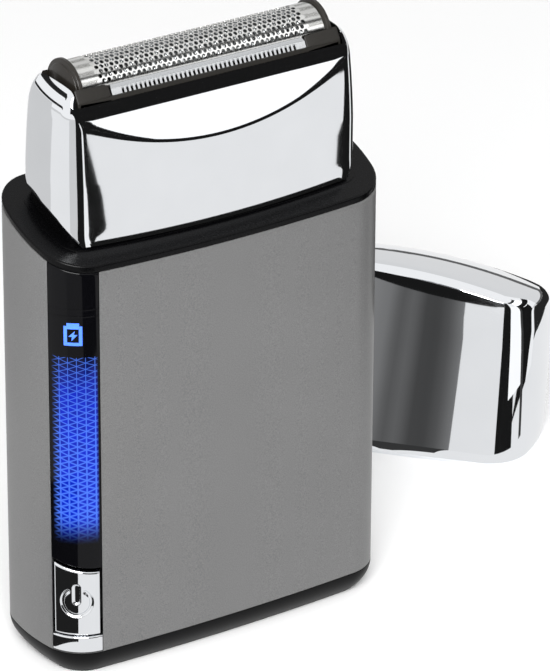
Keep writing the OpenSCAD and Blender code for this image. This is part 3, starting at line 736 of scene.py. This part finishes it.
class SHAVER_OT_head(bpy.types.Operator):
    """Builds the plated head: drafted walls, rounded crest, flat facets and the foil's opening"""
    bl_idname = "shaver.head"
    bl_label = "Head"

    def execute(self, context):
        # Facet and lip of the front and the back: slope, then Y and Z of a point on the plane
        facet, lip = (math.atan(0.3), 9.15, 91.5), (math.atan(0.42), 7.08, 98.4)
        flats = ((*facet, context.scene.shaver.crease_width / MM), (*lip, 0.04))
        mesh_steps = (6, 22, 40)
        straight, curl_start, curl_end = 2, 23, 3.5

        def form(heights, t):
            """Rings of the outer form made smaller by t, one for each height."""
            rings = []
            for z in heights:
                points = level(plan(HEAD, head_wall(z) + t, mesh_steps), z - (t if z > 98 else 0))
                shaped = []
                for p in points:
                    side = 1 if p.y > 0 else -1
                    for slope, y, height, width in flats:
                        n = Vector((0, side * math.cos(slope), math.sin(slope)))
                        start = Vector((0, side * y, height)) - n * t
                        if abs(p.y) > straight:
                            fall = min(max((lip[2] - z) / 5, 0), 1) if slope == facet[0] else 0
                            curl = 0.06 * min(max(abs(p.x) - curl_start, 0), curl_end) ** 2 * fall
                            p = pressed(p, start - Vector((0, side * curl, 0)), n, width)
                    shaped.append(p)
                rings.append(shaped)
            return rings

        low = 87.0
        rows = [low + 0.5 * i for i in range(5)] + [89.5 + 0.16 * i for i in range(62)]
        rows = [z for z in rows if z < 99.3]
        rows += [97.9 + 5.2 * math.sin(math.radians(a)) for a in range(18, 91, 4)]
        outer = form(rows, 0)
        inner = form([88, 91, 93, 95, 97, 98.5, 100, 101.5, 102.6, 103.1], 0.9)

        gap, arch, arch_x, arch_run = 0.2, 3.7, 25.6, 3.0

        def foot(points, lift):
            """Bottom edge: follows the deck with a gap, and runs up at each end."""
            made = []
            for p in points:
                part = min(max((abs(p.x) - arch_x) / arch_run, 0), 1)
                made.append(Vector((p.x, p.y, DECK_Z + (gap + arch * part) + lift + SLOPE * p.y)))
            return made

        def level_plan(inset, z=0):
            return level(plan(HEAD, inset, mesh_steps), z)

        wall = level_plan(head_wall(low), low)
        base = foot(wall, 0.25)
        out = [a - b for a, b in zip(level_plan(0), level_plan(1))]

        def flared(part):
            """Wall ring a part of the way up from the foot, turned out a little near the deck."""
            made = []
            for a, b, n in zip(base, wall, out):
                p = a.lerp(b, part)
                reach = 0.22 * max(1 - (p.z - a.z) / 2.6, 0) ** 2 * min(max((27 - abs(p.x)) / 3, 0), 1)
                made.append(p + n * reach)
            return made

        skirt = [flared(k) for k in (0.04, 0.08, 0.12, 0.16, 0.2, 0.25, 0.32, 0.42, 0.6, 0.8)]
        lip_ring, under = foot(level_plan(0.12), 0.04), foot(level_plan(0.3), 0)
        inside = foot(level_plan(0.9), 0.05)
        rings = outer[::-1] + skirt[::-1] + [flared(0), lip_ring, under, inside] + inner
        bm = bmesh.new()
        skin(bm, rings, caps=(True, True))
        bmesh.ops.recalc_face_normals(bm, faces=bm.faces[:])
        open_x, open_y, open_z = 25.4, 6.3, 94
        for s in (-1, 1):
            for point, normal in (((s * open_x, 0, 0), (1, 0, 0)), ((0, s * open_y, 0), (0, 1, 0))):
                cut(bm, point, normal, [f for f in bm.faces if f.calc_center_median().z > open_z])
        drop(bm, lambda p: abs(p.x) < open_x and abs(p.y) < open_y and p.z > open_z)
        bmesh.ops.bridge_loops(bm, edges=[e for e in bm.edges if len(e.link_faces) == 1])
        piece("head_cover", bm, "plated_chrome", "head", ["head_shell"], sharp=40,
              normals=False)
        return {"FINISHED"}


class SHAVER_OT_foil(bpy.types.Operator):
    """Builds the foil cassette: the perforated foil, its end discs and the frame that holds them"""
    bl_idname = "shaver.foil"
    bl_label = "Foil cassette"

    def execute(self, context):
        settings = context.scene.shaver
        pitch, hole = settings.hole_pitch / MM, settings.hole_width / MM / 2
        radius, row = 4.75, 0.81
        bm = bmesh.new()
        count, lines = 43, 14
        cell_w, cell_h = pitch / 2, row / 2
        border = [(-1, -1), (-0.5, -1), (0, -1), (0.5, -1), (1, -1), (1, 0),
                  (1, 1), (0.5, 1), (0, 1), (-0.5, 1), (-1, 1), (-1, 0)]
        outer = [Vector((a * cell_w, b * cell_h, 0)) for a, b in border]
        inner = [p.normalized() * hole for p in outer]
        frame_ring = ring(bm, outer)
        rise(bm, frame_ring, inner)
        repeat(bm, count, lambda k: (k * pitch, 0, 0))
        repeat(bm, lines, lambda k: (pitch / 2 * (k % 2), k * row, 0))
        bmesh.ops.translate(bm, vec=(-(count - 0.5) * pitch / 2, -(lines - 1) * row / 2, 0),
                            verts=bm.verts[:])
        bmesh.ops.remove_doubles(bm, verts=bm.verts[:], dist=0.01)
        # The plain ends and skirts continue the sheet's own edges
        end_x, end_s = 23.1, 12.4
        inside = (lines * row) / 2 - 0.01
        limit = (count - 0.5) * pitch / 2 - pitch * 0.6

        def is_border(e):
            return len(e.link_faces) == 1 and (abs(e.verts[0].co.x + e.verts[1].co.x) / 2 > limit
                                               or abs(e.verts[0].co.y + e.verts[1].co.y) / 2 > inside)

        for axis, target in ((0, end_x), (1, inside + 0.9), (1, end_s - 3.5), (1, end_s)):
            if axis == 0:
                rim = [e for e in bm.edges if is_border(e)
                       and abs(e.verts[0].co.y + e.verts[1].co.y) / 2 < inside]
            else:
                far = max(abs(v.co.y) for v in bm.verts)
                rim = [e for e in bm.edges if all(abs(abs(v.co.y) - far) < 0.01 for v in e.verts)]
            for v in verts_in(bmesh.ops.extrude_edge_only(bm, edges=rim)):
                v.co[axis] = math.copysign(target, v.co[axis])
            bmesh.ops.remove_doubles(bm, verts=bm.verts[:], dist=0.004)
            bmesh.ops.dissolve_degenerate(bm, edges=bm.edges[:], dist=0.001)
        quarter = math.pi / 2 * radius
        for v in bm.verts:
            s = v.co.y
            a = min(max(s / radius, -math.pi / 2), math.pi / 2)
            down = max(abs(s) - quarter, 0)
            v.co = (v.co.x, radius * math.sin(a), FOIL_Z + radius * math.cos(a) - down)
        bmesh.ops.recalc_face_normals(bm, faces=bm.faces[:])
        if sum(f.normal.z * f.calc_area() for f in bm.faces) < 0:
            bmesh.ops.reverse_faces(bm, faces=bm.faces[:])
        thickness = 0.1
        for v in verts_in(bmesh.ops.extrude_face_region(bm, geom=bm.faces[:], use_keep_orig=True)):
            outward = Vector((0, v.co.y, min(max(v.co.z - FOIL_Z, 0), 9)))
            v.co -= outward.normalized() * thickness
        piece("foil_sheet", bm, "nickel_foil", "foil", ["main_foil"], sharp=50)

        for side, name in ((-1, "left"), (1, "right")):
            disc = bmesh.new()
            spun(disc, [(0, 0), (0, 4.9), (0.08, 5.15), (0.25, 5.3), (0.75, 5.3), (0.86, 5.22),
                        (0.9, 5.05), (0.9, 4.65), (0.94, 4.55), (1.04, 4.5), (1.1, 4.4), (1.1, 0)],
                 (0, 0, 0))
            for v in disc.verts:
                v.co = (side * (23.2 + v.co.x), v.co.y, FOIL_Z + v.co.z)
            xs = sorted((side * 23.25, side * 24.2))
            stem = box(disc, (xs[0], -4, 93), (xs[1], 4, 97))
            soften(disc, edges_at(stem), 0.2, 2)
            piece("end_disc_" + name, disc, "brown_moulding", "foil", ["foil_end_" + name],
                  sharp=35)

        bm = bmesh.new()
        low, high = 92.0, FOIL_Z
        outline, inset = [[Vector((x * sx, y * sy)) for sx, sy in ((1, 1), (-1, 1), (-1, -1), (1, -1))]
                          for x, y in ((25.1, 6.2), (24.4, 5.6))]
        skin(bm, [level(outline, low), level(outline, high - 0.2), level(outline, high),
                  level(inset, high), level(inset, low)], closed=True)
        upright = [e for e in bm.edges if abs(e.verts[0].co.x) > 25 and abs(e.verts[1].co.x) > 25
                   and abs(e.verts[0].co.z - e.verts[1].co.z) > 0.1]
        soften(bm, upright, 0.5, 4)
        for sx in (-1, 1):
            ends = sorted((sx * 21.8, sx * 24.6))
            box(bm, (ends[0], -5.8, low), (ends[1], 5.8, low + 1))
            for sy in (-1, 1):
                xs, ys = sorted((sx * 18.65, sx * 25.1)), sorted((sy * 4.9, sy * 6.2))
                block = box(bm, (xs[0], ys[0], FOIL_Z - 1), (xs[1], ys[1], FOIL_Z + 2.0))
                for v in block:
                    if v.co.z > FOIL_Z:
                        v.co.z -= 2.0 if abs(v.co.y) > 6 else 0
                        v.co.z -= 0.4 if abs(v.co.x) < 20 else 0
                soften(bm, edges_at(block), 0.22, 3)
        piece("cassette_frame", bm, "filled_nylon", "foil", ["foil_frame"])
        return {"FINISHED"}


class SHAVER_OT_combs(bpy.types.Operator):
    """Builds the two folded steel combs beside the foil"""
    bl_idname = "shaver.combs"
    bl_label = "Combs"

    def execute(self, context):
        pitch = context.scene.shaver.tooth_pitch / MM
        half, reach, margin, tooth_half, thickness = 18.5, 16.4, 0.4, 0.21, 0.3
        stations = [-half, -half + margin]
        for i in range(int(round(2 * reach / pitch)) + 1):
            stations += [-reach + i * pitch - tooth_half, -reach + i * pitch + tooth_half]
        stations += [half - margin, half]
        depths = [(4.74, 102.4), (5.3, 102.0), (5.35, 101.95), (5.4, 101.86), (5.78, 101.2),
                  (5.83, 101.1), (6.15, 100.55), (6.2, 100.3)]
        for side, name in ((-1, "front"), (1, "rear")):
            bm = bmesh.new()
            heights = dict(depths)
            ys = list(heights)
            sheet(bm, stations, ys, lambda x, y: heights[y])
            slots = [(a + b) / 2 for a, b in zip(stations[2:-2:2], stations[3:-2:2])]
            drop(bm, lambda p: p.y > 5.41 and any(abs(p.x - s) < 0.2 for s in slots))
            for v in bm.verts:
                if abs(v.co.x) > half - 0.01 and (v.co.y > 6 or v.co.y < 5):
                    v.co.x *= (half - 0.25) / half
            for v in verts_in(bmesh.ops.extrude_face_region(bm, geom=bm.faces[:], use_keep_orig=True)):
                v.co.z -= thickness
            if side < 0:
                bmesh.ops.mirror(bm, geom=bm.verts[:] + bm.edges[:] + bm.faces[:], axis="Y",
                                 merge_dist=-1)
                bmesh.ops.delete(bm, geom=[v for v in bm.verts if v.co.y > 0], context="VERTS")
            piece(name + "_comb_strip", bm, "ground_steel", "foil", [name + "_comb"],
                  sharp=25)
        return {"FINISHED"}


class SHAVER_OT_cap(bpy.types.Operator):
    """Builds the plated cap and the black lining inside its rim"""
    bl_idname = "shaver.cap"
    bl_label = "Cap"

    def execute(self, context):
        height, crown, dome, edge, draft, skin_t = 30.3, 4.85, 1.4, 2.2, 1.2, 0.9
        spot, turn, tilt = (65.5, 43.2, 0), math.radians(-50.7), math.radians(-16.4)
        place = (Matrix.Translation(spot) @ Matrix.Rotation(turn, 4, "Z")
                 @ Matrix.Rotation(tilt, 4, "X"))
        fine = (6, 20, 24)

        def top(q):
            return height + dome - crown * (q.x / 32.5) ** 2 - dome * (q.y / 12.8) ** 2

        def form(t):
            """Rings from the sloping rim up the drafted wall, round the edge and over the crown."""
            rings = []
            for k in range(8):
                part = k / 8
                wall = plan(BODY, t + 0.12 + draft * part ** 2 * 0.6, fine)
                goal = [top(q) - edge - t for q in plan(BODY, t + draft, fine)]
                start = [SLOPE * q.y for q in wall]
                rings.append([Vector((q.x, q.y, a + (b - a) * part))
                              for q, a, b in zip(wall, start, goal)])
            for a in range(0, 91, 10):
                turn = math.radians(a)
                rings.append([Vector((q.x, q.y, top(q) - t - edge * (1 - math.sin(turn))))
                              for q in plan(BODY, t + draft + edge * (1 - math.cos(turn)), fine)])
            for k in range(1, 12):
                rings.append([Vector((q.x, q.y, top(q) - t)) for q in
                              (s * (1 - k / 12) for s in plan(BODY, t + draft + edge, fine))])
            return rings

        outer, inner = form(0), form(skin_t)
        rim = [[p + Vector((0, 0, z)) for p in slanted(plan(BODY, i, fine), 0)]
               for i, z in ((0.12, 0.3), (0.2, 0.06), (0.32, 0.0), (0.7, 0.0))]
        bm = bmesh.new()
        first, last = skin(bm, outer[:0:-1] + rim + inner[1:])
        for loop, t in ((first, 0), (last, skin_t)):
            face = bmesh.ops.contextual_create(bm, geom=chain_edges(bm, loop))["faces"]
            hub = bmesh.ops.poke(bm, faces=face)["verts"][0]
            hub.co = (0, 0, height + dome - t)
        bmesh.ops.transform(bm, matrix=place, verts=bm.verts[:])
        piece("cap_cover", bm, "plated_chrome", "cap", ["cap_shell"], sharp=50)

        bm = bmesh.new()
        profile = fillet([(1.25, 0.8, 0.15), (1.25, 9.0, 0), (2.0, 9.0, 0.15), (2.0, 0.8, 0.15)])
        skin(bm, [slanted(plan(BODY, s.x, fine), s.y) for s in profile], closed=True)
        bmesh.ops.transform(bm, matrix=place, verts=bm.verts[:])
        piece("cap_lining", bm, "satin_abs", "cap", ["cap_liner"])
        return {"FINISHED"}


# Cards that only reflections see: centre in mm, azimuth from and to in degrees (0 in front, negative
# to the left), section as (radius, height) in mm, and tone. A row of tones is spread over the azimuth.
CARDS = [
    ("studio_dome", (0, 0), -180, 180, ((2500, -20), (2500, 1500), (1500, 2500), (10, 2900)), 1.0),
    ("table_tone", (0, 0), -180, 180, ((1, 0.6), (360, 0.6)), 0.90),
    ("table_far", (0, 0), -180, 180, ((360, 0.6), (2500, 0.6)), 0.70),
    ("left_black", (0, 0), -29, 2, ((130, 1.2), (350, 1.2), (350, 200)), 0.01),
    ("left_sliver", (0, 0), 2, 9.6, ((130, 1.2), (350, 1.2), (350, 66)), 1.0),
    ("corner_black", (0, 0), 9.6, 12.6, ((130, 1.2), (350, 1.2), (350, 200)), 0.01),
    ("left_side", (0, 0), -62, -29, ((130, 1.1), (350, 1.1), (350, 70)), 0.68),
    ("crease_black", (0, 0), 8, 75, ((345, 3), (345, 66)), 0.01),
    ("facet_white", (0, 0), 24, 35.6, ((345, 68), (345, 142)), 1.25),
    ("facet_ends", (0, 0), 0, 60, ((348, 66), (348, 144)), 0.01),
    ("lip_black", (0, 0), -60, 100, ((345, 142), (345, 232)), 0.01),
    ("foil_dark", (0, 0), 15, 75, ((345, 400), (345, 500)), 0.04),
    ("right_black", (0, 0), 49.3, 82, ((130, 1.2), (350, 1.2), (350, 136)), 0.01),
    ("right_sliver", (0, 0), 82, 92, ((130, 1.2), (350, 1.2)), 1.0),
    ("right_black_b", (0, 0), 92, 125, ((150, 1.2), (350, 1.2)), 0.02),
    ("left_light", (0, 0), -131, -62, ((110, 1.2), (350, 1.2), (350, 70)), 0.9),
    ("left_grey", (0, 0), -182, -131, ((110, 1.2), (350, 1.2), (350, 120)), 0.68),
    ("crest_line", (0, 0), -190, -112, ((345, 124), (345, 146)), 0.02),
    ("crest_line_b", (0, 0), -190, -112, ((345, 250), (345, 340)), 0.02),
    ("button_dark", (-29, -10), -120, -40, ((10, 1.6), (70, 1.6)), 0.015),
    ("cap_shade", (72, 28), -100, -51, ((30, 0.8), (30, 38.5)),
     (0.24, 0.24, 0.22, 0.19, 0.10, 0.13, 0.065, 0.06, 0.10, 0.2)),
    ("cap_panel", (72, 28), -51, -9, ((30, 0.8), (30, 38.5)), 0.86),
    ("cap_edge", (72, 28), -100, -9, ((30, 38.5), (30, 58)), 0.01),
    ("cap_stripe", (72, 28), -9, 12, ((30, 0.8), (30, 55)), 0.01),
    ("cap_stripe_low", (72, 28), 12, 22, ((30, 0.8), (30, 12)), 0.01),
    ("cap_wedge", (72, 28), 12, 36, ((30, 12), (30, 40)), 1.15),
    ("cap_line", (72, 28), 36, 41, ((30, 0.8), (30, 40)), 0.05),
    ("cap_foot", (72, 28), -100, -51, ((11, 0.9), (30, 0.9)), 0.04),
    ("cap_top", (0, 0), 100, 175, ((800, -10), (800, 1500)), 0.76),
    ("cap_far_edge", (0, 0), 100, 165, ((345, 2), (345, 20)), 0.12),
]


class SHAVER_OT_stage(bpy.types.Operator):
    """Sets the pale floor, the studio light and the camera"""
    bl_idname = "shaver.stage"
    bl_label = "Stage"

    def execute(self, context):
        scene = context.scene
        tone = scene.shaver.floor_tone
        matt, tree = blank("matt_paper")
        surface(tree, node(tree, "ShaderNodeBsdfPrincipled",
                           {"Base Color": (tone, tone, tone, 1), "Roughness": 0.9,
                            "Specular IOR Level": 0.1}))
        bm = bmesh.new()
        bmesh.ops.create_circle(bm, cap_ends=True, segments=64, radius=6)
        floor = placed("floor", bm, matt)

        lit_card, tree = blank("lit_card")
        shade = node(tree, "ShaderNodeAttribute", {"attribute_name": "tone"}).outputs["Color"]
        surface(tree, node(tree, "ShaderNodeEmission", {}, {"Color": shade}))
        for name, centre, start, end, section, tone in CARDS:
            card = bmesh.new()
            verts = [card.verts.new((x * MM, 0, z * MM)) for x, z in section]
            edges = [card.edges.new(pair) for pair in zip(verts, verts[1:])]
            bmesh.ops.rotate(card, verts=verts, cent=(0, 0, 0),
                             matrix=Matrix.Rotation(math.radians(start - 90), 3, "Z"))
            bmesh.ops.spin(card, geom=verts + edges, cent=(0, 0, 0), axis=(0, 0, 1),
                           angle=math.radians(end - start), steps=24)
            tones = tone if isinstance(tone, tuple) else (tone, tone)
            layer = card.verts.layers.float_color.new("tone")
            for v in card.verts:
                turn = math.degrees(math.atan2(v.co.x, -v.co.y)) - start
                part = min(max(turn % 360 / (end - start), 0), 1) * (len(tones) - 1)
                step = min(int(part), len(tones) - 2)
                value = tones[step] + (tones[step + 1] - tones[step]) * (part - step)
                v[layer] = (value, value, value, 1)
            bmesh.ops.translate(card, vec=(centre[0] * MM, centre[1] * MM, 0), verts=card.verts[:])
            made = placed(name, card, lit_card)
            for ray in ("camera", "diffuse", "shadow", "transmission", "volume_scatter"):
                setattr(made, "visible_" + ray, False)

        ambient = 0.62
        world = bpy.data.worlds.new("studio")
        world.use_nodes = True
        world.node_tree.nodes["Background"].inputs[0].default_value = (1, 1, 1, 1)
        world.node_tree.nodes["Background"].inputs[1].default_value = ambient
        scene.world = world
        for name, power, size, spot in (("key", 9, 0.45, (-0.42, -0.55, 0.55)),
                                        ("fill", 3, 1.2, (1.1, -0.9, 0.9))):
            lamp = bpy.data.lights.new(name, "AREA")
            lamp.energy = power
            lamp.size = size
            made = bpy.data.objects.new(name, lamp)
            made.location = spot
            aim = Vector((0, 0, 0.05)) - Vector(spot)
            made.rotation_euler = aim.to_track_quat("-Z", "Y").to_euler()
            made.visible_camera = False
            scene.collection.objects.link(made)

        camera = bpy.data.cameras.new("camera")
        camera.lens = 267.57
        camera.sensor_width = 36
        seat = bpy.data.objects.new("camera", camera)
        spot = (-0.400136, -0.629652, 0.411248)
        turn, tilt, roll = math.radians(-33.5), math.radians(25.75), math.radians(0.32)
        flat = math.cos(tilt)
        back = Vector((math.sin(turn) * flat, -math.cos(turn) * flat, math.sin(tilt)))
        right = Vector(UP).cross(back).normalized()
        up = back.cross(right)
        c, s = math.cos(roll), math.sin(roll)
        axes = Matrix((right * c + up * s, up * c - right * s, back)).transposed()
        seat.matrix_world = Matrix.Translation(spot) @ axes.to_4x4()
        scene.collection.objects.link(seat)
        scene.camera = seat
        scene.view_settings.view_transform = "Standard"
        return {"FINISHED"}


class SHAVER_PT_panel(bpy.types.Panel):
    """Settings and build steps of the shaver"""
    bl_idname = "SHAVER_PT_panel"
    bl_label = "Foil Shaver"
    bl_space_type = "VIEW_3D"
    bl_region_type = "UI"
    bl_category = "Shaver"

    def draw(self, context):
        for name in ShaverSettings.__annotations__:
            self.layout.prop(context.scene.shaver, name)
        for step in STEPS:
            self.layout.operator(step.bl_idname)


STEPS = (SHAVER_OT_finishes, SHAVER_OT_base, SHAVER_OT_shell, SHAVER_OT_collar, SHAVER_OT_window,
         SHAVER_OT_button, SHAVER_OT_head, SHAVER_OT_foil, SHAVER_OT_combs, SHAVER_OT_cap,
         SHAVER_OT_stage)


def register():
    for kind in (ShaverSettings, *STEPS, SHAVER_PT_panel):
        bpy.utils.register_class(kind)
    bpy.types.Scene.shaver = bpy.props.PointerProperty(type=ShaverSettings)


def unregister():
    del bpy.types.Scene.shaver
    for kind in (SHAVER_PT_panel, *reversed(STEPS), ShaverSettings):
        bpy.utils.unregister_class(kind)


def main():
    register()
    for step in STEPS:
        group, name = step.bl_idname.split(".")
        getattr(getattr(bpy.ops, group), name)()


if __name__ == "__main__":
    main()
